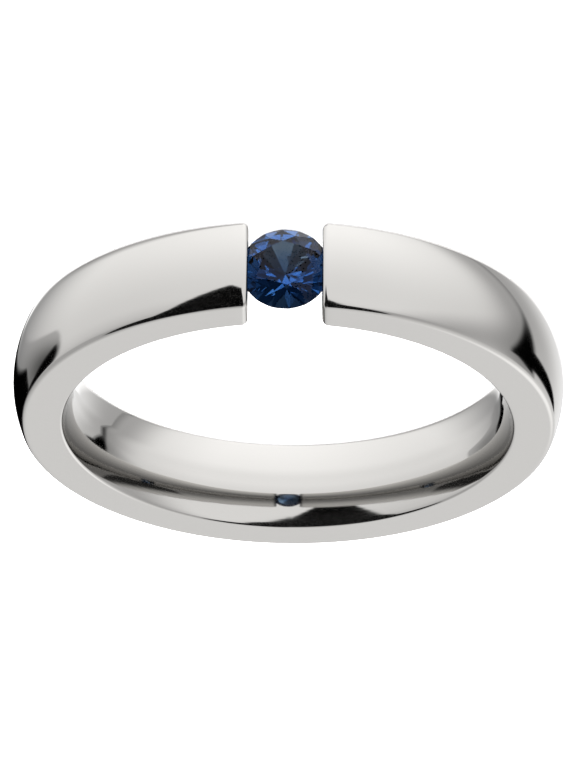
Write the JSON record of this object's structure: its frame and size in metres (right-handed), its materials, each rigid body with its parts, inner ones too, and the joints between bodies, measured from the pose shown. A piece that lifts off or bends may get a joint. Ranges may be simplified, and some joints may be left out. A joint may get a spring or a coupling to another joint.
{
  "type": "tension set ring",
  "caption": "Finger ring with a domed, comfort-fit band that is cut through at the head and grips a round brilliant stone by its girdle.",
  "frame": {"origin": "on the finger axis, at the surface that the ring lies on", "axes": "+Z along the finger axis, up out of the surface; -Y from the finger axis towards the stone, whose table looks along -Y; +X to the right of somebody who looks at the table"},
  "size_m": [0.0234, 0.0233, 0.004],
  "materials": {
    "band_metal": "high polish titanium, light grey",
    "stone": "polished blue sapphire, faceted"
  },
  "bodies": {
    "root": {"band": "band_metal", "stone": "stone"}
  },
  "joints": []
}
